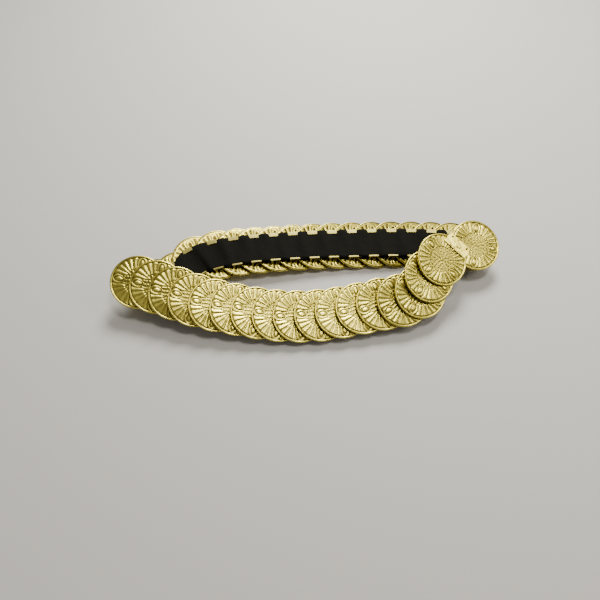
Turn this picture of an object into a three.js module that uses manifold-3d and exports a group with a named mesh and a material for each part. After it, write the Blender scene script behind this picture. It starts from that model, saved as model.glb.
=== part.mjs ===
// Stretch coin belt: stamped gilt discs riding shingled on a closed elastic band.
// Millimetres, +Z up. The belt lies on the table in a long flattened loop.
import * as THREE from 'three';
import Module from 'manifold-3d';
import { mergeVertices } from 'three/addons/utils/BufferGeometryUtils.js';

const wasm = await Module();
wasm.setup();

// Disc, stamped from thin sheet
const DISC_COUNT = 35;
const DISC_RADIUS = 25;
const DISC_SEGMENTS = 24;
const SHEET = 0.8;
const RIM_WIDTH = 1.2;
const RIM_RAISE = 0.5;
const RAY_OUTER = 23;
const RAY_OUTER_RAISE = 0.45;
const RAY_INNER = 13;
const RAY_INNER_RAISE = 0.27;
const MIDDLE_RADIUS = 11.8;
const MIDDLE_RAISE = 0.4;

// Bracket behind each disc: two narrow legs down past the edges of the elastic, each
// with a longer lip turned in under it. It sits a little to the early side of the middle
// and, like the elastic in it, BAND_SHIFT across from the middle.
const BRACKET_OFFSET = -5;
const BAND_SHIFT = -1.5;
const LEG_EARLY = 4.6;
const LEG_LENGTH = 1.7;
const LEG_INNER = 14.5;
const LEG_OUTER = 15.2;
const LEG_SINK = 0.3;
const LIP_EARLY = 5.2;
const LIP_LATE = 4.5;
const LIP_TIP = 11;
const LIP_THICK = 0.6;
const LIP_GAP = 0.28;

// Elastic band. HELD_SPAN is the part of a disc spacing, each way, that a bracket keeps
// straight; the band folds back on itself after the discs in FOLD_AFTER.
const ELASTIC_WIDTH = 28;
const ELASTIC_THICK = 1.0;
const ELASTIC_HEIGHT = 5.4;
const HELD_SPAN = 0.28;
const HELD_MARGIN = 0.001;
const FOLD_AFTER = [17, 34];
const FOLD_STEPS = 10;
const READ_STEP = 0.01;

// Clasp plate, folded over the early edge of the first disc
const CLEAR = 0.3;
const PLATE_WIDTH = 26;
const PLATE_SHIFT = -3.8;
const PLATE_THICK = 0.9;
const PLATE_REACH = 2.2;
const PLATE_INNER = -15.5;
const LEAF_END = -13.5;
const LEAF_THICK = 0.8;
const HOLE_RADIUS = 1;
const HOLE_DEPTH = 3;
const HOLE_SEGMENTS = 12;
const HOLE_IN = 2.7;
const HOLE_SPACING = 18;

// Clasp catch, a narrower strip that rises from the last disc to the plate. Its width
// turns from the first heading to the second on the way, and slopes up by CATCH_RISE.
const CATCH_WIDTH = 16;
const CATCH_THICK = 0.8;
const CATCH_STEPS = 10;
const CATCH_FIRST_HEADING = -9;
const CATCH_LAST_HEADING = -40;
const CATCH_RISE = 0.35;
const CATCH_PATH = [
  { x: 153.5, y: 46.6, z: 18.5 },
  { x: 147.5, y: 46.5, z: 18.9 },
  { x: 142.6, y: 46.0, z: 21.8 },
  { x: 140.8, y: 44.8, z: 26.0 },
  { x: 141.4, y: 43.6, z: 28.8 },
  { x: 143.0, y: 42.4, z: 30.4 },
];

// Where the belt touches the table its underside is flat
const TABLE_FLAT = 0.45;
const TABLE_SIZE = 500;

const GOLD = { color: 0xd9c06a, roughness: 0.32, metalness: 0.95 };
const CLASP_GOLD = { color: 0xe0c878, roughness: 0.26, metalness: 0.95 };
const BLACK = { color: 0x141416, roughness: 0.9, metalness: 0.0 };

// Middle line of the elastic. coin is the running disc number, heading and lean turn
// the width of the band about the vertical and out of the level, tilt lifts each disc's
// later edge over the next disc. Half numbers shape the two folds and the two ends.
const STATIONS = [
  { coin: 0.3, x: 143.0, y: 40.4, z: 32.1, heading: -46, lean: 25, tilt: 10 },
  { coin: 1, x: 134.1, y: 30.8, z: 28.0, heading: -48, lean: 25, tilt: 10 },
  { coin: 2, x: 120.8, y: 15.9, z: 22.2, heading: -50, lean: 24, tilt: 11.8 },
  { coin: 3, x: 113.2, y: 2.2, z: 16.0, heading: -36, lean: 23.5, tilt: 10 },
  { coin: 4, x: 98.3, y: -6.8, z: 12.7, heading: -22, lean: 20, tilt: 10 },
  { coin: 5, x: 80.0, y: -10.5, z: 9.9, heading: -14, lean: 16, tilt: 10.5 },
  { coin: 6, x: 61.0, y: -14.2, z: 7.6, heading: -11, lean: 12.5, tilt: 11 },
  { coin: 8, x: 22.5, y: -20.5, z: 4.7, heading: -6, lean: 12.5, tilt: 11.5 },
  { coin: 9, x: 2.8, y: -21.9, z: 4.2, heading: 0, lean: 12, tilt: 11.5 },
  { coin: 10, x: -16.6, y: -21.7, z: 4.7, heading: 4, lean: 11, tilt: 11.5 },
  { coin: 12, x: -55.2, y: -17.4, z: 7.6, heading: 9, lean: 10, tilt: 12 },
  { coin: 14, x: -93.0, y: -10.0, z: 12.0, heading: 16, lean: 14, tilt: 12 },
  { coin: 15, x: -110.7, y: -4.4, z: 14.6, heading: 18, lean: 17, tilt: 12 },
  { coin: 16, x: -128.3, y: 1.6, z: 16.7, heading: 16, lean: 19, tilt: 11.5 },
  { coin: 17, x: -146.0, y: 6.2, z: 17.9, heading: 10, lean: 18, tilt: 10.5 },
  { coin: 17.3, x: -152.8, y: 8.2, z: 18.0, heading: 8, lean: 18, tilt: 12 },
  { coin: 17.5, x: -155.2, y: 9.6, z: 15.9, heading: 2, lean: 17, tilt: 12 },
  { coin: 17.7, x: -152.8, y: 10.6, z: 14.1, heading: 0, lean: 16, tilt: 8 },
  { coin: 18, x: -141.3, y: 11.3, z: 14.4, heading: -4, lean: 16, tilt: 7 },
  { coin: 19, x: -118.8, y: 17.1, z: 16.4, heading: -30, lean: 19, tilt: 9.5 },
  { coin: 20, x: -102.5, y: 33.1, z: 19.2, heading: -28, lean: 21, tilt: 10.5 },
  { coin: 21, x: -82.4, y: 40.3, z: 21.0, heading: -19, lean: 18, tilt: 12 },
  { coin: 22, x: -63.0, y: 44.5, z: 21.3, heading: -13, lean: 14, tilt: 12 },
  { coin: 24, x: -25.2, y: 50.4, z: 19.8, heading: -8, lean: 11, tilt: 12 },
  { coin: 26, x: 13.4, y: 54.6, z: 17.9, heading: -4, lean: 12, tilt: 12 },
  { coin: 28, x: 52.7, y: 57.4, z: 16.2, heading: -3, lean: 13, tilt: 12 },
  { coin: 30, x: 92.6, y: 59.3, z: 15.3, heading: -1, lean: 13, tilt: 12 },
  { coin: 32, x: 131.9, y: 58.3, z: 15.0, heading: 4, lean: 15.5, tilt: 11 },
  { coin: 33, x: 151.3, y: 56.5, z: 15.1, heading: 4, lean: 17, tilt: 9.5 },
  { coin: 34, x: 169.8, y: 56.0, z: 15.1, heading: -2, lean: 18, tilt: 7.5 },
  { coin: 34.3, x: 180.6, y: 55.2, z: 15.2, heading: -4, lean: 19, tilt: 8 },
  { coin: 34.5, x: 183.4, y: 53.9, z: 17.0, heading: -5, lean: 19, tilt: 9 },
  { coin: 34.7, x: 181.4, y: 52.4, z: 18.8, heading: -6, lean: 19, tilt: 8 },
  { coin: 35, x: 174.2, y: 50.6, z: 18.6, heading: -6, lean: 20, tilt: 6 },
  { coin: 36.2, x: 149.5, y: 47.4, z: 20.6, heading: -9, lean: 20, tilt: 6 },
];

// Slope of one column at a station, from the chord slopes on both sides
function slopeAt(index, key) {
  const here = STATIONS[index];
  const before = STATIONS[index - 1];
  const after = STATIONS[index + 1];
  if (!before) {
    return (after[key] - here[key]) / (after.coin - here.coin);
  }
  if (!after) {
    return (here[key] - before[key]) / (here.coin - before.coin);
  }
  const gapBefore = here.coin - before.coin;
  const gapAfter = after.coin - here.coin;
  const slopeBefore = (here[key] - before[key]) / gapBefore;
  const slopeAfter = (after[key] - here[key]) / gapAfter;
  return (slopeBefore * gapAfter + slopeAfter * gapBefore) / (gapBefore + gapAfter);
}

// Smooth value of one column at any disc number
function columnAt(coin, key) {
  let index = 0;
  while (index < STATIONS.length - 2 && STATIONS[index + 1].coin < coin) {
    index += 1;
  }
  const from = STATIONS[index];
  const to = STATIONS[index + 1];
  const span = to.coin - from.coin;
  const t = (coin - from.coin) / span;
  const fromSlope = slopeAt(index, key) * span;
  const toSlope = slopeAt(index + 1, key) * span;
  const t2 = t * t;
  const t3 = t2 * t;
  return (2 * t3 - 3 * t2 + 1) * from[key] + (t3 - 2 * t2 + t) * fromSlope
    + (3 * t2 - 2 * t3) * to[key] + (t3 - t2) * toSlope;
}

function pointAt(coin) {
  return new THREE.Vector3(columnAt(coin, 'x'), columnAt(coin, 'y'), columnAt(coin, 'z'));
}

// Along, across and outward directions of the band at a disc number
function bandFrame(coin) {
  const along = pointAt(coin + READ_STEP).sub(pointAt(coin - READ_STEP)).normalize();
  const heading = THREE.MathUtils.degToRad(columnAt(coin, 'heading'));
  const lean = THREE.MathUtils.degToRad(columnAt(coin, 'lean'));
  const across = new THREE.Vector3(
    Math.sin(heading) * Math.cos(lean),
    Math.cos(heading) * Math.cos(lean),
    Math.sin(lean),
  );
  across.addScaledVector(along, -across.dot(along)).normalize();
  const outward = new THREE.Vector3().crossVectors(across, along);
  return { point: pointAt(coin), along, across, outward };
}

// Disc axes: x to the later side, y across the belt, z outward; origin at the back centre
function discMatrix(coin) {
  const frame = bandFrame(coin);
  const tilt = THREE.MathUtils.degToRad(columnAt(coin, 'tilt'));
  const later = frame.along.clone().multiplyScalar(Math.cos(tilt))
    .addScaledVector(frame.outward, Math.sin(tilt));
  const out = frame.outward.clone().multiplyScalar(Math.cos(tilt))
    .addScaledVector(frame.along, -Math.sin(tilt));
  const origin = frame.point.clone()
    .addScaledVector(later, -BRACKET_OFFSET)
    .addScaledVector(out, ELASTIC_HEIGHT);
  const matrix = new THREE.Matrix4().makeBasis(later, frame.across, out);
  matrix.setPosition(origin);
  return matrix;
}

function toSolid(geometry) {
  const bare = geometry.index ? geometry.toNonIndexed() : geometry.clone();
  bare.deleteAttribute('normal');
  bare.deleteAttribute('uv');
  const merged = mergeVertices(bare, 1e-5);
  return new wasm.Manifold(new wasm.Mesh({
    numProp: 3,
    vertProperties: new Float32Array(merged.attributes.position.array),
    triVerts: new Uint32Array(merged.index.array),
  }));
}

function toGeometry(solid) {
  const mesh = solid.getMesh();
  const geometry = new THREE.BufferGeometry();
  const positions = new Float32Array(mesh.numVert * 3);
  for (let i = 0; i < mesh.numVert; i += 1) {
    for (let axis = 0; axis < 3; axis += 1) {
      positions[i * 3 + axis] = mesh.vertProperties[i * mesh.numProp + axis];
    }
  }
  geometry.setAttribute('position', new THREE.BufferAttribute(positions, 3));
  geometry.setIndex(new THREE.BufferAttribute(new Uint32Array(mesh.triVerts), 1));
  geometry.computeVertexNormals();
  return geometry;
}

// One closed surface from rings of points, each ring with the same number of points;
// the first and last rings are closed with a fan
function ringSolid(rings) {
  const count = rings[0].length;
  const positions = [];
  const triangles = [];
  for (const ring of rings) {
    for (const point of ring) {
      positions.push(point.x, point.y, point.z);
    }
  }
  for (let r = 0; r < rings.length - 1; r += 1) {
    for (let i = 0; i < count; i += 1) {
      const next = (i + 1) % count;
      const a = r * count + i;
      const b = r * count + next;
      const c = (r + 1) * count + next;
      const d = (r + 1) * count + i;
      triangles.push(a, b, c, a, c, d);
    }
  }
  const last = (rings.length - 1) * count;
  for (let i = 1; i < count - 1; i += 1) {
    triangles.push(0, i + 1, i);
    triangles.push(last, last + i, last + i + 1);
  }
  const geometry = new THREE.BufferGeometry();
  geometry.setAttribute('position', new THREE.Float32BufferAttribute(positions, 3));
  geometry.setIndex(triangles);
  return geometry;
}

function circleRing(radius, height, wave = 0) {
  const ring = [];
  for (let i = 0; i < DISC_SEGMENTS; i += 1) {
    const angle = (2 * Math.PI * (i + 0.5)) / DISC_SEGMENTS;
    const raise = i % 2 === 0 ? wave : 0;
    ring.push(new THREE.Vector3(radius * Math.cos(angle), radius * Math.sin(angle), height + raise));
  }
  return ring;
}

// The stamped disc: flat back, raised rim, a fluted field of rays and a raised middle
function discGeometry() {
  const rimTop = SHEET + RIM_RAISE;
  return ringSolid([
    circleRing(DISC_RADIUS, 0),
    circleRing(DISC_RADIUS, rimTop),
    circleRing(DISC_RADIUS - RIM_WIDTH, rimTop),
    circleRing(RAY_OUTER, SHEET, RAY_OUTER_RAISE),
    circleRing(RAY_INNER, SHEET, RAY_INNER_RAISE),
    circleRing(MIDDLE_RADIUS, SHEET + MIDDLE_RAISE),
  ]);
}

function boxGeometry(x0, x1, y0, y1, z0, z1) {
  const box = new THREE.BoxGeometry(x1 - x0, y1 - y0, z1 - z0);
  box.translate((x0 + x1) / 2, (y0 + y1) / 2, (z0 + z1) / 2);
  return box;
}

// Box behind the disc whose lower corners follow the slope of the band, so that a lip
// stays parallel to the elastic although the disc is tilted over the next one
function skewBox(x0, x1, y0, y1, depthNear, depthFar, slope) {
  const box = boxGeometry(x0, x1, y0, y1, -depthFar, -depthNear);
  const positions = box.attributes.position;
  for (let i = 0; i < positions.count; i += 1) {
    const drop = slope * (positions.getX(i) - BRACKET_OFFSET);
    if (positions.getZ(i) < 0) {
      positions.setZ(i, positions.getZ(i) - drop);
    }
  }
  return box;
}

// Disc, legs and lips in one piece
function discSolid(coin) {
  const slope = Math.tan(THREE.MathUtils.degToRad(columnAt(coin, 'tilt')));
  const lipNear = ELASTIC_HEIGHT + ELASTIC_THICK / 2 + LIP_GAP;
  const lipFar = lipNear + LIP_THICK;
  const legStart = BRACKET_OFFSET - LEG_EARLY;
  const lipStart = BRACKET_OFFSET - LIP_EARLY;
  const lipEnd = BRACKET_OFFSET + LIP_LATE;
  let solid = toSolid(discGeometry());
  for (const side of [-1, 1]) {
    const legA = BAND_SHIFT + Math.min(side * LEG_INNER, side * LEG_OUTER);
    const legB = BAND_SHIFT + Math.max(side * LEG_INNER, side * LEG_OUTER);
    const lipA = BAND_SHIFT + Math.min(side * LIP_TIP, side * LEG_OUTER);
    const lipB = BAND_SHIFT + Math.max(side * LIP_TIP, side * LEG_OUTER);
    const leg = skewBox(legStart, legStart + LEG_LENGTH, legA, legB, -LEG_SINK, lipFar, slope);
    const lip = skewBox(lipStart, lipEnd, lipA, lipB, lipNear, lipFar, slope);
    solid = solid.add(toSolid(leg)).add(toSolid(lip));
  }
  return solid;
}

// The band runs straight where a bracket holds it and bends freely between brackets
function elasticFrame(coin) {
  const held = Math.min(Math.max(Math.round(coin), 1), DISC_COUNT);
  const offset = coin - held;
  if (Math.abs(offset) > HELD_SPAN + HELD_MARGIN) {
    const free = bandFrame(coin);
    const before = Math.floor(coin);
    if (!FOLD_AFTER.includes(before) && before >= 1 && before < DISC_COUNT) {
      const from = bandFrame(before);
      const to = bandFrame(before + 1);
      free.across.copy(from.across).add(to.across).normalize();
      free.outward.copy(from.outward).add(to.outward).normalize();
    }
    return free;
  }
  const before = pointAt(held - READ_STEP);
  const pace = pointAt(held + READ_STEP).distanceTo(before) / (2 * READ_STEP);
  const frame = bandFrame(held);
  frame.point.addScaledVector(frame.along, offset * pace);
  return frame;
}

// Disc numbers at which the outline of the band is set down
function elasticCoins() {
  const firstCoin = STATIONS[0].coin;
  const lastCoin = STATIONS[STATIONS.length - 1].coin;
  const coins = [firstCoin];
  for (let held = 1; held <= DISC_COUNT; held += 1) {
    coins.push(held - HELD_SPAN, held, held + HELD_SPAN);
    if (FOLD_AFTER.includes(held)) {
      for (let k = 1; k < FOLD_STEPS; k += 1) {
        coins.push(held + HELD_SPAN + (k * (1 - 2 * HELD_SPAN)) / FOLD_STEPS);
      }
    } else if (held < DISC_COUNT) {
      coins.push(held + 0.5);
    }
  }
  coins.push((DISC_COUNT + HELD_SPAN + lastCoin) / 2, lastCoin);
  return coins;
}

// Rectangular strip swept through a row of frames
function stripGeometry(frames, width, thick, shift = 0) {
  const corners = [[-1, -1], [-1, 1], [1, 1], [1, -1]];
  return ringSolid(frames.map((frame) => corners.map(([across, outward]) => frame.point.clone()
    .addScaledVector(frame.across, shift + (across * width) / 2)
    .addScaledVector(frame.outward, (outward * thick) / 2))));
}

// Closed bar with one outline in the x-z plane, running across the belt from y0 to y1
function profileBar(outline, y0, y1) {
  const shape = new THREE.Shape(outline.map(([x, z]) => new THREE.Vector2(x, z)));
  const bar = new THREE.ExtrudeGeometry(shape, { depth: y1 - y0, bevelEnabled: false });
  bar.rotateX(Math.PI / 2);
  bar.translate(0, y1, 0);
  return bar;
}

// Clasp plate: sheet folded over the first disc's outer edge. The front leaf shows, the
// back leaf runs down behind the disc to the end of the elastic, which is fixed under it.
function claspPlate() {
  const slope = Math.tan(THREE.MathUtils.degToRad(columnAt(1, 'tilt')));
  const frontTop = SHEET + RIM_RAISE + CLEAR + PLATE_THICK;
  const frontBottom = SHEET + RIM_RAISE + CLEAR;
  const edge = -DISC_RADIUS - PLATE_REACH;
  const inside = edge + PLATE_THICK;
  const overBand = (x) => 2 * CLEAR - ELASTIC_HEIGHT + ELASTIC_THICK / 2 - slope * (x - BRACKET_OFFSET);
  const outline = [
    [PLATE_INNER, frontBottom],
    [PLATE_INNER, frontTop],
    [edge, frontTop],
    [edge, overBand(edge)],
    [LEAF_END, overBand(LEAF_END)],
    [LEAF_END, overBand(LEAF_END) + LEAF_THICK],
    [inside, -CLEAR],
    [inside, frontBottom],
  ];
  const sideA = PLATE_SHIFT - PLATE_WIDTH / 2;
  const sideB = PLATE_SHIFT + PLATE_WIDTH / 2;
  let solid = toSolid(profileBar(outline, sideA, sideB));
  for (const side of [-1, 1]) {
    const hole = new THREE.CylinderGeometry(HOLE_RADIUS, HOLE_RADIUS, HOLE_DEPTH, HOLE_SEGMENTS);
    hole.rotateX(Math.PI / 2);
    hole.translate(edge + HOLE_IN, PLATE_SHIFT + (side * HOLE_SPACING) / 2, frontTop);
    solid = solid.subtract(toSolid(hole));
  }
  return solid.transform(discMatrix(1).elements);
}

// Clasp catch: narrower sheet from the other end of the elastic, rising past the last
// disc's edge to hook under the clasp plate
function claspCatch() {
  const points = CATCH_PATH.map(({ x, y, z }) => new THREE.Vector3(x, y, z));
  const curve = new THREE.CatmullRomCurve3(points);
  const frames = [];
  for (let i = 0; i <= CATCH_STEPS; i += 1) {
    const t = i / CATCH_STEPS;
    const along = curve.getTangentAt(t);
    const turn = THREE.MathUtils.lerp(CATCH_FIRST_HEADING, CATCH_LAST_HEADING, t);
    const heading = THREE.MathUtils.degToRad(turn);
    const across = new THREE.Vector3(Math.sin(heading), Math.cos(heading), CATCH_RISE);
    across.addScaledVector(along, -across.dot(along)).normalize();
    const outward = new THREE.Vector3().crossVectors(across, along);
    frames.push({ point: curve.getPointAt(t), across, outward });
  }
  return toSolid(stripGeometry(frames, CATCH_WIDTH, CATCH_THICK));
}

const elastic = stripGeometry(elasticCoins().map(elasticFrame), ELASTIC_WIDTH, ELASTIC_THICK, BAND_SHIFT);
const solids = [];
for (let number = 1; number <= DISC_COUNT; number += 1) {
  const solid = discSolid(number).transform(discMatrix(number).elements);
  solids.push({ name: `disc_${String(number).padStart(2, '0')}`, solid, finish: GOLD });
}
solids.push({ name: 'elastic_band', solid: toSolid(elastic), finish: BLACK });

solids.push({ name: 'clasp_plate', solid: claspPlate(), finish: CLASP_GOLD });
solids.push({ name: 'clasp_catch', solid: claspCatch(), finish: CLASP_GOLD });

const bounds = new THREE.Box3();
for (const { solid } of solids) {
  const box = solid.boundingBox();
  bounds.union(new THREE.Box3(new THREE.Vector3(...box.min), new THREE.Vector3(...box.max)));
}

// Shift to the middle of the footprint, with the small resting flats at height zero
const tableHeight = bounds.min.z + TABLE_FLAT;
const shift = [
  -(bounds.min.x + bounds.max.x) / 2,
  -(bounds.min.y + bounds.max.y) / 2,
  -tableHeight,
];
const below = toSolid(new THREE.BoxGeometry(TABLE_SIZE, TABLE_SIZE, TABLE_SIZE)
  .translate(0, 0, -TABLE_SIZE / 2));

const group = new THREE.Group();
for (const { name, solid, finish } of solids) {
  let placed = solid.translate(shift);
  if (placed.boundingBox().min[2] < 0) {
    placed = placed.subtract(below);
  }
  const mesh = new THREE.Mesh(toGeometry(placed), new THREE.MeshStandardMaterial(finish));
  mesh.name = name;
  group.add(mesh);
}
export default group;
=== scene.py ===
import math

import bmesh
import bpy
from mathutils import Matrix, Quaternion, Vector


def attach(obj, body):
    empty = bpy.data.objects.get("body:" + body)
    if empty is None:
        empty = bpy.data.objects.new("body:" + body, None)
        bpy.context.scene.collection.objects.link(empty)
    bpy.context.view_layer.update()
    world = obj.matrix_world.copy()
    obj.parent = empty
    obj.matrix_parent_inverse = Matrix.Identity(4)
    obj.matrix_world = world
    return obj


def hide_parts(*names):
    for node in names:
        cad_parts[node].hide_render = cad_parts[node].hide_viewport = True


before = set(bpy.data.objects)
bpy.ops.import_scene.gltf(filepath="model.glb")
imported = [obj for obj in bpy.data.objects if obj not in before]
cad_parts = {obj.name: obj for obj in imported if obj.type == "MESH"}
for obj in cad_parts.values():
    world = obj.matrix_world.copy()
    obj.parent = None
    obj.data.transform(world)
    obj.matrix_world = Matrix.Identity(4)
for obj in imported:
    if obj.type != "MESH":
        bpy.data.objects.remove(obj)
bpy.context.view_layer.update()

# ---------------------------------------------------------------------------
# Studio. A plain pale floor, a broad lamp behind the belt and two softer ones.
# The camera looks down on the near strand from about forty centimetres.
# ---------------------------------------------------------------------------
CAMERA_PLACE = (-0.0121, -0.2368, 0.3780)
CAMERA_DEPRESSION = 60.0
CAMERA_LENS = 27.06
CAMERA_SENSOR = 36.0
CAMERA_NEAREST = 0.01
CAMERA_FURTHEST = 20.0
SKY_TINT = (0.84, 0.81, 0.77, 1.0)
SKY_STRENGTH = 0.22
FLOOR_REACH = 4.0
FLOOR_TINT = (0.62, 0.60, 0.57, 1.0)
FLOOR_ROUGHNESS = 0.75


def add_object(name, data):
    """A new object in the scene, at the origin."""
    added = bpy.data.objects.new(name, data)
    bpy.context.scene.collection.objects.link(added)
    return added


def set_inputs(node, values):
    """Sets a node's inputs by name."""
    for name, value in values.items():
        node.inputs[name].default_value = value


def new_material(name):
    """A material with its tree of nodes and the shader in it."""
    material = bpy.data.materials.new(name)
    material.use_nodes = True
    return material, material.node_tree, material.node_tree.nodes["Principled BSDF"]


camera_data = bpy.data.cameras.new("camera")
camera_data.lens = CAMERA_LENS
camera_data.sensor_width = CAMERA_SENSOR
camera_data.clip_start = CAMERA_NEAREST
camera_data.clip_end = CAMERA_FURTHEST
camera = add_object("camera", camera_data)
camera.location = CAMERA_PLACE
camera.rotation_euler = (math.radians(90.0 - CAMERA_DEPRESSION), 0.0, 0.0)
bpy.context.scene.camera = camera

world = bpy.data.worlds.new("studio")
bpy.context.scene.world = world
world.use_nodes = True
set_inputs(world.node_tree.nodes["Background"], {"Color": SKY_TINT, "Strength": SKY_STRENGTH})

for name, place, aim, size, power, tint in (
    ("lamp_behind", (0.12, 0.80, 0.78), (0.0, 0.0, 0.0), 0.42, 19.0, (1.0, 0.98, 0.92)),
    ("lamp_overhead", (0.25, 0.12, 1.10), (0.0, 0.0, 0.0), 0.25, 4.5, (1.0, 0.97, 0.90)),
    ("lamp_right", (0.78, 0.06, 0.67), (0.10, 0.0, 0.0), 0.30, 1.6, (1.0, 0.96, 0.88)),
):
    light_data = bpy.data.lights.new(name, "AREA")
    light_data.shape = "DISK"
    light_data.size = size
    light_data.energy = power
    light_data.color = tint
    light = add_object(name, light_data)
    light.location = place
    light.rotation_euler = (Vector(aim) - Vector(place)).to_track_quat("-Z", "Y").to_euler()

floor_mesh = bpy.data.meshes.new("floor")
corners = [(x * FLOOR_REACH, y * FLOOR_REACH, 0.0) for x, y in ((-1, -1), (1, -1), (1, 1), (-1, 1))]
floor_mesh.from_pydata(corners, [], [(0, 1, 2, 3)])
floor = add_object("floor", floor_mesh)
pale_floor, _, floor_shader = new_material("pale_floor")
set_inputs(floor_shader, {"Base Color": FLOOR_TINT, "Roughness": FLOOR_ROUGHNESS})
floor_mesh.materials.append(pale_floor)

# ---------------------------------------------------------------------------
# Lay of the belt. Every disc is held at one place on the band. Each row gives
# the band's middle line at a disc number, in mm, the direction of its width,
# and the tilt that lifts a disc's later edge over the next disc, in degrees.
# ---------------------------------------------------------------------------
DISC_COUNT = 35
BAND_TO_DISC = 5.4
BRACKET_OFFSET = -5.0
BAND_SHIFT = -1.5
ORIGIN_SHIFT = (-12.09878, -18.66904, 0.14641)
SHORT_STEP = 0.01
STATION_COLUMNS = ("disc", "x", "y", "z", "heading", "lean", "tilt")
STATIONS = [
    (0.3, 143.0, 40.4, 32.1, -46, 25, 10),
    (1, 134.1, 30.8, 28.0, -48, 25, 10),
    (2, 120.8, 15.9, 22.2, -50, 24, 11.8),
    (3, 113.2, 2.2, 16.0, -36, 23.5, 10),
    (4, 98.3, -6.8, 12.7, -22, 20, 10),
    (5, 80.0, -10.5, 9.9, -14, 16, 10.5),
    (6, 61.0, -14.2, 7.6, -11, 12.5, 11),
    (8, 22.5, -20.5, 4.7, -6, 12.5, 11.5),
    (9, 2.8, -21.9, 4.2, 0, 12, 11.5),
    (10, -16.6, -21.7, 4.7, 4, 11, 11.5),
    (12, -55.2, -17.4, 7.6, 9, 10, 12),
    (14, -93.0, -10.0, 12.0, 16, 14, 12),
    (15, -110.7, -4.4, 14.6, 18, 17, 12),
    (16, -128.3, 1.6, 16.7, 16, 19, 11.5),
    (17, -146.0, 6.2, 17.9, 10, 18, 10.5),
    (17.3, -152.8, 8.2, 18.0, 8, 18, 12),
    (17.5, -155.2, 9.6, 15.9, 2, 17, 12),
    (17.7, -152.8, 10.6, 14.1, 0, 16, 8),
    (18, -141.3, 11.3, 14.4, -4, 16, 7),
    (19, -118.8, 17.1, 16.4, -30, 19, 9.5),
    (20, -102.5, 33.1, 19.2, -28, 21, 10.5),
    (21, -82.4, 40.3, 21.0, -19, 18, 12),
    (22, -63.0, 44.5, 21.3, -13, 14, 12),
    (24, -25.2, 50.4, 19.8, -8, 11, 12),
    (26, 13.4, 54.6, 17.9, -4, 12, 12),
    (28, 52.7, 57.4, 16.2, -3, 13, 12),
    (30, 92.6, 59.3, 15.3, -1, 13, 12),
    (32, 131.9, 58.3, 15.0, 4, 15.5, 11),
    (33, 151.3, 56.5, 15.1, 4, 17, 9.5),
    (34, 169.8, 56.0, 15.1, -2, 18, 7.5),
    (34.3, 180.6, 55.2, 15.2, -4, 19, 8),
    (34.5, 183.4, 53.9, 17.0, -5, 19, 9),
    (34.7, 181.4, 52.4, 18.8, -6, 19, 8),
    (35, 174.2, 50.6, 18.6, -6, 20, 6),
    (36.2, 149.5, 47.4, 20.6, -9, 20, 6),
]


def column_slope(index, column):
    """Change of one column for each disc at a row, weighted to the nearer neighbour."""
    here = STATIONS[index]
    if index == 0:
        after = STATIONS[1]
        return (after[column] - here[column]) / (after[0] - here[0])
    before = STATIONS[index - 1]
    if index == len(STATIONS) - 1:
        return (here[column] - before[column]) / (here[0] - before[0])
    after = STATIONS[index + 1]
    gap_before = here[0] - before[0]
    gap_after = after[0] - here[0]
    slope_before = (here[column] - before[column]) / gap_before
    slope_after = (after[column] - here[column]) / gap_after
    return (slope_before * gap_after + slope_after * gap_before) / (gap_before + gap_after)


def column_at(disc, name):
    """One column at a whole or part disc number, on a smooth cubic through the rows."""
    column = STATION_COLUMNS.index(name)
    index = 0
    while index < len(STATIONS) - 2 and STATIONS[index + 1][0] < disc:
        index += 1
    start, end = STATIONS[index], STATIONS[index + 1]
    span = end[0] - start[0]
    t = (disc - start[0]) / span
    slope_start = column_slope(index, column) * span
    slope_end = column_slope(index + 1, column) * span
    return ((2 * t**3 - 3 * t**2 + 1) * start[column] + (t**3 - 2 * t**2 + t) * slope_start
            + (3 * t**2 - 2 * t**3) * end[column] + (t**3 - t**2) * slope_end)


def band_point(disc):
    """Point on the band's middle line, in mm."""
    return Vector([column_at(disc, axis) for axis in "xyz"]) + Vector(ORIGIN_SHIFT)


def band_frame(disc):
    """Point on the band with its along, across and outward directions, in mm."""
    along = (band_point(disc + SHORT_STEP) - band_point(disc - SHORT_STEP)).normalized()
    heading = math.radians(column_at(disc, "heading"))
    lean = math.radians(column_at(disc, "lean"))
    level = math.cos(lean)
    across = Vector((math.sin(heading) * level, math.cos(heading) * level, math.sin(lean)))
    across = (across - along * across.dot(along)).normalized()
    return band_point(disc), along, across, across.cross(along)


def disc_pose(disc):
    """Back centre of a disc, its axis towards the later discs and its outward axis, in mm."""
    point, along, _, outward = band_frame(disc)
    tilt = math.radians(column_at(disc, "tilt"))
    later = along * math.cos(tilt) + outward * math.sin(tilt)
    out = outward * math.cos(tilt) - along * math.sin(tilt)
    return point - later * BRACKET_OFFSET + out * BAND_TO_DISC, later, out


# ---------------------------------------------------------------------------
# Stamped discs. Each is thin brass sheet struck with a rosette: a raised rim,
# four ovals with a bead in each, fans of rays between them and a middle of
# small knobs. The back shows the same relief, shallower. Bright gilt plating,
# with painted shade that colours the hollows of the relief darker.
# ---------------------------------------------------------------------------
MM = 0.001

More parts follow.
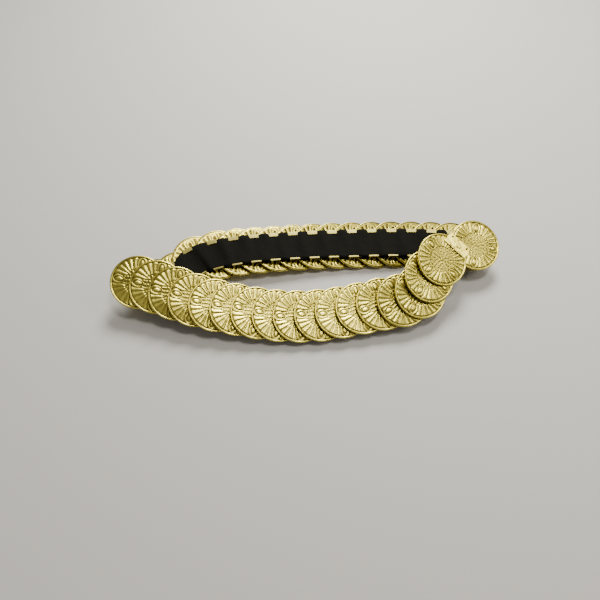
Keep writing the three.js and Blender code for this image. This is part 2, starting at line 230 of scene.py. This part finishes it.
# The sheet and the rings of its mesh, in mm
DISC_RADIUS = 25.0
SHEET = 0.8
RELIEF_RAISE = 0.74
BACK_RELIEF = 0.32
EDGE_TOP = SHEET + 0.12
EDGE_FOOT = 0.15
EDGE_RELIEF = 0.7
SPOKES = 184
FRONT_RINGS = (
    0.0, 0.8, 1.7, 2.5, 3.3, 4.1, 4.9, 5.6, 6.3, 7.1, 7.9, 8.7, 9.5, 10.3, 11.2, 12.0, 12.7, 13.3,
    14.1, 15.0, 15.9, 16.7, 17.5, 18.3, 19.1, 20.0, 20.8, 21.6, 22.2, 22.7, 23.2, 23.7, 24.2, 24.8,
)
BACK_RINGS = (
    24.6, 24.0, 23.3, 22.5, 21.7, 20.9, 20.1, 19.3, 18.5, 17.7, 16.9, 16.1, 15.3, 14.4, 13.0, 11.0,
    8.0, 4.0, 0.0,
)

# The rosette: places in mm, the step between rays in degrees, and the slopes and gaps
# round an oval or a bead as shares of its own size
FIELD_RADIUS = 23.2
RIM_SLOPE = 0.5
OVAL_RADIUS = 17.4
OVAL_LONG = 5.9
OVAL_WIDE = 4.4
OVAL_TAPER = 0.05
OVAL_SLOPE = 0.2
BEAD_LONG = 4.0
BEAD_WIDE = 2.25
BEAD_GROOVE = 0.07
BEAD_SLOPE = 0.32
FAN_FOCUS = 6.5
FAN_STEP = 19.4
FAN_GAP = 0.24
RAY_FULLNESS = 0.8
RAY_TIP_ARCH = 0.4
RAY_TIP_SLOPE = 0.7
RAY_ROOT_LEAD = 0.4
RAY_ROOT_SLOPE = 1.2
MIDDLE_RADIUS = 12.0
MIDDLE_GROUND = 0.2
MIDDLE_HEART = 1.7
KNOB_TWIST = 0.37
KNOB_COLUMNS = ("radius", "count", "size", "height")
KNOB_RINGS = (
    (3.2, 6, 1.4, 0.9),
    (5.8, 11, 1.4, 0.8),
    (8.3, 15, 1.4, 0.9),
    (10.8, 20, 1.4, 0.8),
)

# The gilt: painted shade in the struck discs' hollows, tarnish in soft blotches, a fine grain and, on
# thin plate, shallow dents
TARNISH_SCALE = 55.0
TARNISH_DETAIL = 3.0
TARNISH_SPREAD = (0.3, 0.7)
TARNISH_ROUGHNESS = 0.12
# Painted shade: the share of the relief over which a struck disc's colour runs from the deep shade to
# the pale gilt
RELIEF_SHADE_TONES = (0.02, 0.40)
TARNISH_TONES = (0.40, 0.60)
GRAIN_SCALE = 1400.0
GRAIN_DETAIL = 2.0
GRAIN_DEPTH = 0.0001
GRAIN_ON_RELIEF = 0.35
GRAIN_ON_PLAIN = 0.08
DENT_DEPTH = 0.003
# Painted shade: the struck gilt's deep colour fills the discs' hollows, the pale one the crests
STRUCK_PALE = (0.81, 0.69, 0.12)
STRUCK_HOLLOW_SHADE = (0.075, 0.052, 0.012)
STRUCK_ROUGHNESS = 0.26


def share(value):
    """A value held between 0 and 1."""
    return min(max(value, 0.0), 1.0)


def ridge(distance, width):
    """1 on the crest of a rounded ridge, 0 beyond its width."""
    near = abs(distance) / width
    return 0.0 if near >= 1.0 else 0.5 + 0.5 * math.cos(math.pi * near)


def middle_relief(radius, angle):
    """Rings of small knobs round a round heart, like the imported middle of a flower."""
    height = max(MIDDLE_GROUND, ridge(radius, MIDDLE_HEART))
    for row in KNOB_RINGS:
        knob = dict(zip(KNOB_COLUMNS, row))
        turn = angle * knob["count"] / (2.0 * math.pi) + KNOB_TWIST * knob["radius"]
        sideways = (turn - round(turn)) * 2.0 * math.pi * knob["radius"] / knob["count"]
        apart = math.hypot(sideways, radius - knob["radius"])
        height = max(height, knob["height"] * ridge(apart, knob["size"]))
    return height


def rosette(radius, angle):
    """Relief of the stamping, from 0 in the ground to 1 on the highest crests."""
    if radius > FIELD_RADIUS:
        return min(1.0, (radius - FIELD_RADIUS) / RIM_SLOPE)
    if radius < MIDDLE_RADIUS:
        return middle_relief(radius, angle)
    quarter = math.pi / 2.0
    from_oval = (angle + quarter / 2.0) % quarter - quarter / 2.0
    x = radius * math.cos(from_oval) - OVAL_RADIUS
    y = radius * math.sin(from_oval)
    oval = math.hypot(x / OVAL_LONG, y / (OVAL_WIDE * (1.0 + OVAL_TAPER * x)))
    if oval < 1.0:
        bead = math.hypot(x / BEAD_LONG, y / BEAD_WIDE)
        return share(min((abs(bead - 1.0) - BEAD_GROOVE) / BEAD_SLOPE, (1.0 - oval) / OVAL_SLOPE))
    from_fan = from_oval - quarter / 2.0 if from_oval > 0 else from_oval + quarter / 2.0
    fan_x = radius * math.cos(from_fan) - FAN_FOCUS
    fan_y = radius * math.sin(from_fan)
    ray = 2.0 * ((math.degrees(math.atan2(fan_y, fan_x)) / FAN_STEP + 0.5) % 1.0 - 0.5)
    crest = max(0.0, 1.0 - ray * ray) ** RAY_FULLNESS
    tip = share((FIELD_RADIUS - RAY_TIP_ARCH * ray * ray - radius) / RAY_TIP_SLOPE)
    root = share((radius - MIDDLE_RADIUS + RAY_ROOT_LEAD) / RAY_ROOT_SLOPE)
    return crest * tip * root * min(1.0, (oval - 1.0) / FAN_GAP)


def struck_face(radius, angle):
    """Height in mm of the front, and its relief, which also sets the painted shade: darker in the
    hollows.
    """
    relief_and_shade = rosette(radius, angle)
    return SHEET + RELIEF_RAISE * relief_and_shade, relief_and_shade


def hollow_back(radius, angle):
    """Height in mm of the back, where the front's crests are the ground, and its painted shade tone:
    darker in the back's hollows.
    """
    relief_and_shade = rosette(radius, angle)
    return BACK_RELIEF * relief_and_shade, 1.0 - relief_and_shade


def edge_top(radius, angle):
    """Height in mm and relief of the cut edge, at the front."""
    return EDGE_TOP, EDGE_RELIEF


def edge_foot(radius, angle):
    """Height in mm and relief of the cut edge, at the back."""
    return EDGE_FOOT, EDGE_RELIEF


def build_disc_mesh():
    """One disc about its back centre, struck side up, in metres, with its relief kept as a painted
    shade tone.
    """
    profile = [(radius, struck_face) for radius in FRONT_RINGS]
    profile += [(DISC_RADIUS, edge_top), (DISC_RADIUS, edge_foot)]
    profile += [(radius, hollow_back) for radius in BACK_RINGS]
    vertices, relief_and_shade, rings, faces = [], [], [], []
    for radius, surface in profile:
        count = SPOKES if radius > 0.0 else 1
        rings.append(range(len(vertices), len(vertices) + count))
        for k in range(count):
            angle = 2.0 * math.pi * k / SPOKES
            height, tone = surface(radius, angle)
            vertices.append((radius * math.cos(angle) * MM, radius * math.sin(angle) * MM, height * MM))
            relief_and_shade.append(tone)
    for inner, outer in zip(rings[:-1], rings[1:]):
        for k in range(SPOKES):
            n = (k + 1) % SPOKES
            if len(inner) == 1:
                faces.append((inner[0], outer[k], outer[n]))
            elif len(outer) == 1:
                faces.append((inner[k], outer[0], inner[n]))
            else:
                faces.append((inner[k], outer[k], outer[n], inner[n]))
    mesh = bpy.data.meshes.new("struck_disc")
    mesh.from_pydata(vertices, [], faces)
    # Painted shade: this attribute colours the hollows of both faces darker
    mesh.attributes.new("relief_and_shade", "FLOAT", "POINT").data.foreach_set("value", relief_and_shade)
    mesh.shade_smooth()
    return mesh


def join(tree, *links):
    """Links, each given as a node, its output, the next node and its input."""
    for source, output, target, entry in links:
        tree.links.new(source.outputs[output], target.inputs[entry])


def gilt_material(name, pale, deep, roughness, shade_by_relief, dents=0.0):
    """Bright plating over brass. On the relief-shaded discs the colour is painted shade: pale on the
    crests and deep in the hollows. Otherwise it is pale where clean and deeper where tarnished, in soft
    blotches.
    """
    material, tree, shader = new_material(name)
    shader.inputs["Metallic"].default_value = 1.0
    place = tree.nodes.new("ShaderNodeTexCoord")
    tarnish = tree.nodes.new("ShaderNodeTexNoise")
    set_inputs(tarnish, {"Scale": TARNISH_SCALE, "Detail": TARNISH_DETAIL})
    low, high = RELIEF_SHADE_TONES if shade_by_relief else TARNISH_TONES
    tone = tree.nodes.new("ShaderNodeMapRange")
    set_inputs(tone, {"From Min": low, "From Max": high})
    # Painted shade: on the discs the relief sets the colour, darker in the hollows
    if shade_by_relief:
        relief_and_shade = tree.nodes.new("ShaderNodeAttribute")
        relief_and_shade.attribute_name = "relief_and_shade"
    colour = tree.nodes.new("ShaderNodeMix")
    colour.data_type = "RGBA"
    set_inputs(colour, {"A": (*deep, 1.0), "B": (*pale, 1.0)})
    gloss = tree.nodes.new("ShaderNodeMapRange")
    set_inputs(gloss, {"From Min": TARNISH_SPREAD[0], "From Max": TARNISH_SPREAD[1],
                       "To Min": roughness, "To Max": roughness + TARNISH_ROUGHNESS})
    dented = tree.nodes.new("ShaderNodeBump")
    set_inputs(dented, {"Strength": dents, "Distance": DENT_DEPTH})
    grain = tree.nodes.new("ShaderNodeTexNoise")
    set_inputs(grain, {"Scale": GRAIN_SCALE, "Detail": GRAIN_DETAIL})
    grained = tree.nodes.new("ShaderNodeBump")
    strength = GRAIN_ON_RELIEF if shade_by_relief else GRAIN_ON_PLAIN
    set_inputs(grained, {"Strength": strength, "Distance": GRAIN_DEPTH})
    join(
        tree,
        (place, "Object", tarnish, "Vector"),
        (relief_and_shade if shade_by_relief else tarnish, "Fac", tone, "Value"),
        (tone, "Result", colour, "Factor"),
        (colour, "Result", shader, "Base Color"),
        (tarnish, "Fac", gloss, "Value"),
        (gloss, "Result", shader, "Roughness"),
        (place, "Object", grain, "Vector"),
        (grain, "Fac", grained, "Height"),
        (tarnish, "Fac", dented, "Height"),
        (dented, "Normal", grained, "Normal"),
        (grained, "Normal", shader, "Normal"),
    )
    return material


def repeat_tree(name):
    """Sets a copy of one piece on each point, turned as the point says."""
    tree = bpy.data.node_groups.new(name, "GeometryNodeTree")
    for socket, way, kind in (
        ("Places", "INPUT", "NodeSocketGeometry"),
        ("Piece", "INPUT", "NodeSocketObject"),
        ("Finish", "INPUT", "NodeSocketMaterial"),
        ("Geometry", "OUTPUT", "NodeSocketGeometry"),
    ):
        tree.interface.new_socket(name=socket, in_out=way, socket_type=kind)
    given = tree.nodes.new("NodeGroupInput")
    result = tree.nodes.new("NodeGroupOutput")
    piece = tree.nodes.new("GeometryNodeObjectInfo")
    turn = tree.nodes.new("GeometryNodeInputNamedAttribute")
    turn.data_type = "QUATERNION"
    turn.inputs["Name"].default_value = "turn"
    place = tree.nodes.new("GeometryNodeInstanceOnPoints")
    solid = tree.nodes.new("GeometryNodeRealizeInstances")
    finish = tree.nodes.new("GeometryNodeSetMaterial")
    join(
        tree,
        (given, "Places", place, "Points"),
        (given, "Piece", piece, "Object"),
        (piece, "Geometry", place, "Instance"),
        (turn, "Attribute", place, "Rotation"),
        (place, "Instances", solid, "Geometry"),
        (solid, "Geometry", finish, "Geometry"),
        (given, "Finish", finish, "Material"),
        (finish, "Geometry", result, "Geometry"),
    )
    return tree


set_on_belt = repeat_tree("set_on_belt")


def set_pieces(name, master, poses, finish):
    """One plain mesh of the master set at every pose (origin, x axis and z axis, in mm)."""
    mesh = bpy.data.meshes.new(name + "_places")
    mesh.from_pydata([tuple(origin * MM) for origin, _, _ in poses], [], [])
    turns = mesh.attributes.new("turn", "QUATERNION", "POINT")
    for item, (_, x_axis, z_axis) in zip(turns.data, poses):
        item.value = Matrix((x_axis, z_axis.cross(x_axis), z_axis)).transposed().to_quaternion()
    places = add_object(name + "_places", mesh)
    modifier = places.modifiers.new("set", "NODES")
    modifier.node_group = set_on_belt
    sockets = {item.name: item.identifier for item in set_on_belt.interface.items_tree}
    modifier[sockets["Piece"]] = master
    modifier[sockets["Finish"]] = finish
    bpy.context.view_layer.update()
    depsgraph = bpy.context.evaluated_depsgraph_get()
    made = bpy.data.meshes.new_from_object(places.evaluated_get(depsgraph))
    made.name = name
    bpy.data.objects.remove(places)
    return add_object(name, made)


def press_on_table(mesh):
    """Flattens on the table's top what would sink into it."""
    for vertex in mesh.vertices:
        vertex.co.z = max(vertex.co.z, 0.0)


def spun(pose, degrees):
    """A pose turned about its own outward axis."""
    origin, x_axis, z_axis = pose
    return origin, Quaternion(z_axis, math.radians(degrees)) @ x_axis, z_axis


# How far single discs have turned on the band, in degrees; the others sway a little
DISC_SPIN = {
    1: -14.0, 3: 16.0, 4: 14.0, 5: 8.0, 6: 5.0, 8: -4.0, 9: 3.0, 11: -3.0, 13: 5.0, 15: 12.0,
    16: 7.0, 17: 7.0, 35: -21.0,
}
SWAY_TURN = 3.0
SWAY_PACE = 2.3

struck_gilt = gilt_material("struck_gilt", STRUCK_PALE, STRUCK_HOLLOW_SHADE, STRUCK_ROUGHNESS, True)
disc_master = add_object("disc_master", build_disc_mesh())
for name, first, last in (
    ("discs_near_right", 1, 9),
    ("discs_near_left", 10, 18),
    ("discs_far_left", 19, 27),
    ("discs_far_right", 28, 35),
):
    poses = []
    for number in range(first, last + 1):
        spin = DISC_SPIN.get(number, SWAY_TURN * math.sin(SWAY_PACE * number))
        poses.append(spun(disc_pose(number), spin))
    discs = set_pieces(name, disc_master, poses, struck_gilt)
    press_on_table(discs.data)
    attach(discs, "root")
    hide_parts(*[f"disc_{n:02d}" for n in range(first, last + 1)])
bpy.data.objects.remove(disc_master)

# ---------------------------------------------------------------------------
# Brackets. Each disc has two brass legs soldered to its back, bent in round
# the edges of the elastic to a flat lip. The disc slides on the band until the
# lips pinch it. Same plating, smooth.
# ---------------------------------------------------------------------------
# Places in mm from the middle of the elastic: across it, out towards the disc, or along it.
# The leg widens to the lip over some points of its line. The edge angle is in radians.
LEG_CENTRE = 14.85
LEG_TOP = 5.3
LEG_WAIST = 0.4
LEG_EARLY = -4.6
LEG_LATE = -2.9
BEND_RADIUS = 0.55
BEND_STEPS = 5
LIP_TIPS = (11.2, 13.3)
LIP_DEPTH = 1.08
LIP_RUN = 0.4
LIP_RISE = 0.05
LIP_EARLY = -5.2
LIP_LATE = 4.5
LIP_CORNER = 0.5
WIDENS_FROM_POINT = 2
WIDENS_OVER_POINTS = 3.0
BRACKET_SHEET = 0.5
BRACKET_ROUND = 0.14
BRACKET_EDGE_ANGLE = 0.9
PLAIN_PALE = (0.58, 0.51, 0.16)
PLAIN_DEEP = (0.48, 0.41, 0.11)
PLAIN_ROUGHNESS = 0.38


def leg_line(lip_tip):
    """Middle line of one folded leg from the disc to the lip's tip, as (across, out) in mm."""
    line = [(LEG_CENTRE, LEG_TOP), (LEG_CENTRE, LEG_WAIST)]
    for step in range(BEND_STEPS + 1):
        angle = math.radians(90.0 * step / BEND_STEPS)
        line.append((LEG_CENTRE - BEND_RADIUS + BEND_RADIUS * math.cos(angle),
                     -LIP_DEPTH + BEND_RADIUS - BEND_RADIUS * math.sin(angle)))
    return line + [(lip_tip + LIP_RUN, -LIP_DEPTH), (lip_tip, -LIP_DEPTH + LIP_RISE)]


def build_bracket_mesh():
    """Both folded legs of one disc about the elastic's middle, in metres."""
    vertices, faces = [], []
    for side, lip_tip in zip((-1.0, 1.0), LIP_TIPS):
        line = leg_line(lip_tip)
        rings = []
        for index, (y, z) in enumerate(line):
            before = line[max(index - 1, 0)]
            after = line[min(index + 1, len(line) - 1)]
            dy, dz = after[0] - before[0], after[1] - before[1]
            half = BRACKET_SHEET / 2 / math.hypot(dy, dz)
            lip = share((index - WIDENS_FROM_POINT) / WIDENS_OVER_POINTS)
            corner = LIP_CORNER if index == len(line) - 1 else 0.0
            early = LEG_EARLY + (LIP_EARLY - LEG_EARLY) * lip + corner
            late = LEG_LATE + (LIP_LATE - LEG_LATE) * lip - corner
            inside = side * (y + dz * half), z - dy * half
            outside = side * (y - dz * half), z + dy * half
            start = len(vertices)
            vertices += [(early, *inside), (late, *inside), (late, *outside), (early, *outside)]
            rings.append(range(start, start + 4))
        for lower, upper in zip(rings[:-1], rings[1:]):
            for k in range(4):
                n = (k + 1) % 4
                faces.append((lower[k], lower[n], upper[n], upper[k]))
        faces.append(tuple(rings[0]))
        faces.append(tuple(reversed(rings[-1])))
    mesh = bpy.data.meshes.new("bracket")
    mesh.from_pydata([tuple(v * MM for v in vertex) for vertex in vertices], [], faces)
    shape = bmesh.new()
    shape.from_mesh(mesh)
    bmesh.ops.recalc_face_normals(shape, faces=shape.faces)
    sharp = [edge for edge in shape.edges if edge.calc_face_angle(0.0) > BRACKET_EDGE_ANGLE]
    bmesh.ops.bevel(shape, geom=sharp, offset=BRACKET_ROUND * MM, segments=2, affect="EDGES")
    shape.to_mesh(mesh)
    shape.free()
    mesh.shade_flat()
    return mesh


def bracket_pose(disc):
    """Middle of the elastic at a disc, with the along and outward axes, in mm."""
    point, along, across, outward = band_frame(disc)
    return point + across * BAND_SHIFT, along, outward


smooth_gilt = gilt_material("smooth_gilt", PLAIN_PALE, PLAIN_DEEP, PLAIN_ROUGHNESS, False)
bracket_master = add_object("bracket_master", build_bracket_mesh())
bracket_poses = [bracket_pose(number) for number in range(1, DISC_COUNT + 1)]
brackets = set_pieces("brackets", bracket_master, bracket_poses, smooth_gilt)
bpy.data.objects.remove(bracket_master)
press_on_table(brackets.data)
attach(brackets, "root")

# ---------------------------------------------------------------------------
# Elastic. One open strip of black woven elastic, 28 millimetres wide, that
# runs inside all the brackets. It lies flat in each bracket and puckers softly
# between them, where it would take up the stretch.
# ---------------------------------------------------------------------------
# Sizes in mm; spans and steps along the band are shares of the way from disc to disc
ELASTIC_WIDTH = 28.0
ELASTIC_THICK = 1.0
ELASTIC_SELVEDGE = 0.4
PUCKER_DEPTH = 1.8
PUCKER_SKEW = 0.2
PUCKER_WAVER = 0.25
WAVER_ALONG = 5.0
WAVER_ACROSS = 2.2
EDGE_WAVE = 0.7
HELD_SPAN = 0.24
LOOSENING_SPAN = 0.12
FOLD_AFTER = (17, 34)
FOLD_STEP = 0.02
OPEN_STEP = 0.05
CROSS_STEPS = 14
ELASTIC_DEEP = (0.003, 0.003, 0.0022, 1.0)
ELASTIC_PALE = (0.028, 0.0265, 0.020, 1.0)
RIB_SCALE = 260.0
PICK_SCALE = 420.0
WEAVE_DEPTH = 0.0002


def eased(value):
    """0 to 1 with a soft start and a soft end."""
    held = share(value)
    return held * held * (3.0 - 2.0 * held)


def elastic_frame(disc):
    """Middle, across and outward of the elastic, straight where a bracket holds it."""
    held = min(max(round(disc), 1), DISC_COUNT)
    offset = disc - held
    before = math.floor(disc)
    free_point, _, free_across, free_out = band_frame(disc)
    if before not in FOLD_AFTER and 1 <= before < DISC_COUNT:
        _, _, start_across, start_out = band_frame(before)
        _, _, end_across, end_out = band_frame(before + 1)
        turned = eased((disc - before - HELD_SPAN) / (1.0 - 2.0 * HELD_SPAN))
        free_across = start_across.lerp(end_across, turned).normalized()
        free_out = start_out.lerp(end_out, turned).normalized()
    pace = (band_point(held + SHORT_STEP) - band_point(held - SHORT_STEP)).length / (2.0 * SHORT_STEP)
    point, along, across, outward = band_frame(held)
    loose = eased((abs(offset) - HELD_SPAN) / LOOSENING_SPAN)
    middle = (point + along * offset * pace).lerp(free_point, loose)
    across = across.lerp(free_across, loose).normalized()
    outward = outward.lerp(free_out, loose).normalized()
    return middle + across * BAND_SHIFT, across, outward


def elastic_outline():
    """Round the strip's section, as shares of half its width and half its thickness."""
    top = [-1.0 + 2.0 * k / CROSS_STEPS for k in range(CROSS_STEPS + 1)]
    under = [1.0 - 2.0 * k / CROSS_STEPS for k in range(CROSS_STEPS + 1)]
    outline = []
    for face, row in ((1.0, top), (-1.0, under)):
        for index, u in enumerate(row):
            outline.append((u, face * ELASTIC_SELVEDGE if index in (0, CROSS_STEPS) else face))
    return outline


def elastic_stops():
    """Disc numbers at which the strip's section is set, closer together in the folds."""
    stops = []
    disc = STATIONS[0][0]
    while disc < STATIONS[-1][0]:
        stops.append(disc)
        disc += FOLD_STEP if math.floor(disc) in FOLD_AFTER else OPEN_STEP
    return stops + [STATIONS[-1][0]]


def build_elastic_mesh():
    """Closed strip swept through the belt with its cloth's own map, and its length, in metres."""
    outline = elastic_outline()
    stops = elastic_stops()
    vertices, faces, cloth_map = [], [], []
    reach = 0.0
    last_point = None
    for disc in stops:
        point, across, outward = elastic_frame(disc)
        if last_point is not None:
            reach += (point - last_point).length
        last_point = point
        before = math.floor(disc)
        fixed = before in FOLD_AFTER or disc < 1 or disc > DISC_COUNT
        free = 0.0 if fixed else math.sin(math.pi * (disc - before)) ** 2
        for u, face in outline:
            waver = PUCKER_WAVER * math.sin(WAVER_ALONG * disc + WAVER_ACROSS * u)
            sink = PUCKER_DEPTH * free * (1.0 - PUCKER_SKEW + PUCKER_SKEW * u + waver)
            spread = u * (ELASTIC_WIDTH / 2 + EDGE_WAVE * free)
            at = point + across * spread + outward * (face * ELASTIC_THICK / 2 - sink)
            vertices.append(tuple(at * MM))
            cloth_map.append((u * ELASTIC_WIDTH / 2 * MM, reach * MM))
    count = len(outline)
    end = (len(stops) - 1) * count
    for row in range(0, end, count):
        for k in range(count):
            n = (k + 1) % count
            faces.append((row + k, row + n, row + count + n, row + count + k))
    faces.append(tuple(reversed(range(count))))
    faces.append(tuple(range(end, end + count)))
    mesh = bpy.data.meshes.new("elastic")
    mesh.from_pydata(vertices, [], faces)
    layer = mesh.uv_layers.new(name="cloth")
    for loop in mesh.loops:
        layer.data[loop.index].uv = cloth_map[loop.vertex_index]
    shape = bmesh.new()
    shape.from_mesh(mesh)
    bmesh.ops.recalc_face_normals(shape, faces=shape.faces)
    shape.to_mesh(mesh)
    shape.free()
    mesh.shade_smooth()
    return mesh, reach * MM


def elastic_material():
    """Black elastic: fine ribs along its length, crossed by the covered rubber."""
    material, tree, shader = new_material("black_elastic")
    set_inputs(shader, {"Roughness": 0.95, "Specular IOR Level": 0.12,
                        "Sheen Weight": 0.02, "Sheen Roughness": 0.5})
    cloth = tree.nodes.new("ShaderNodeUVMap")
    cloth.uv_map = "cloth"
    ribs = tree.nodes.new("ShaderNodeTexWave")
    ribs.bands_direction = "X"
    set_inputs(ribs, {"Scale": RIB_SCALE, "Distortion": 0.4})
    picks = tree.nodes.new("ShaderNodeTexWave")
    picks.bands_direction = "Y"
    set_inputs(picks, {"Scale": PICK_SCALE, "Distortion": 0.8})
    weave = tree.nodes.new("ShaderNodeMath")
    weave.operation = "MULTIPLY"
    colour = tree.nodes.new("ShaderNodeMix")
    colour.data_type = "RGBA"
    set_inputs(colour, {"A": ELASTIC_DEEP, "B": ELASTIC_PALE})
    bump = tree.nodes.new("ShaderNodeBump")
    set_inputs(bump, {"Strength": 0.6, "Distance": WEAVE_DEPTH})
    join(
        tree,
        (cloth, "UV", ribs, "Vector"),
        (cloth, "UV", picks, "Vector"),
        (ribs, "Fac", weave, 0),
        (picks, "Fac", weave, 1),
        (weave, "Value", colour, "Factor"),
        (colour, "Result", shader, "Base Color"),
        (weave, "Value", bump, "Height"),
        (bump, "Normal", shader, "Normal"),
    )
    return material


elastic_mesh, elastic_length = build_elastic_mesh()
elastic_mesh.materials.append(elastic_material())
elastic = add_object("elastic", elastic_mesh)
press_on_table(elastic_mesh)
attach(elastic, "root")
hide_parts("elastic_band")

# ---------------------------------------------------------------------------
# Clasp. A plain gilt plate folded over the first disc's edge, with two small
# holes, and a narrower catch that comes up from the other end of the elastic
# to hook under it. Both are cut from thin sheet with softened edges.
# ---------------------------------------------------------------------------
SAME_POINT = 1e-6
FLAT_ANGLE = math.radians(1.0)
SHARP_ANGLE = math.radians(35.0)
EDGE_SOFTENING = 0.22
CLASP_PALE = (0.74, 0.66, 0.15)
CLASP_DEEP = (0.42, 0.34, 0.04)
CLASP_ROUGHNESS = 0.17
CLASP_DENTS = 0.9

clasp_gilt = gilt_material("clasp_gilt", CLASP_PALE, CLASP_DEEP, CLASP_ROUGHNESS, False, CLASP_DENTS)
for node_name, piece_name in (("clasp_plate", "plate"), ("clasp_catch", "catch")):
    shape = bmesh.new()
    shape.from_mesh(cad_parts[node_name].data)
    bmesh.ops.remove_doubles(shape, verts=shape.verts, dist=SAME_POINT)
    bmesh.ops.dissolve_limit(shape, angle_limit=FLAT_ANGLE, verts=shape.verts, edges=shape.edges)
    sharp = [edge for edge in shape.edges if edge.calc_face_angle(0.0) > SHARP_ANGLE]
    bmesh.ops.bevel(shape, geom=sharp, offset=EDGE_SOFTENING * MM, segments=3, affect="EDGES")
    bmesh.ops.recalc_face_normals(shape, faces=shape.faces)
    clasp_mesh = bpy.data.meshes.new(piece_name)
    shape.to_mesh(clasp_mesh)
    shape.free()
    clasp_mesh.shade_flat()
    clasp_mesh.materials.append(clasp_gilt)
    piece = add_object(piece_name, clasp_mesh)
    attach(piece, "root")
    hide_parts(node_name)
